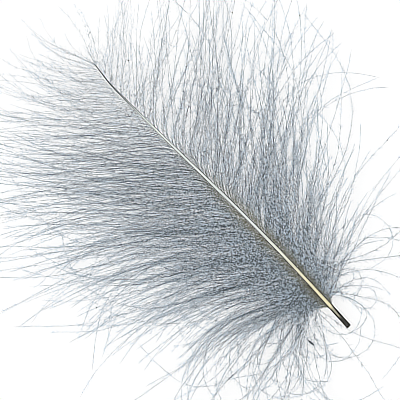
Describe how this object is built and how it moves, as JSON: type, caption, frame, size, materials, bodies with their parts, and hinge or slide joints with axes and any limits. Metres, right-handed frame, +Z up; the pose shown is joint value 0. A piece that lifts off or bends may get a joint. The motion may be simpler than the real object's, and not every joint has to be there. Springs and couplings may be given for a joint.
{
  "type": "cul de canard feather",
  "caption": "Downy grey rump feather of a duck, lying flat: a pale tapering shaft with a dark cut quill and long loose barbs on both sides.",
  "frame": {"origin": "on the surface that the feather lies on, below the centre of its outline", "axes": "+Y along the shaft from the cut quill towards the tip, +X towards the vane on the right, +Z up from the surface"},
  "size_m": [0.0524, 0.07, 0.0026],
  "materials": {
    "down": "matte"
  },
  "bodies": {
    "root": {"feather": "down"}
  },
  "joints": []
}
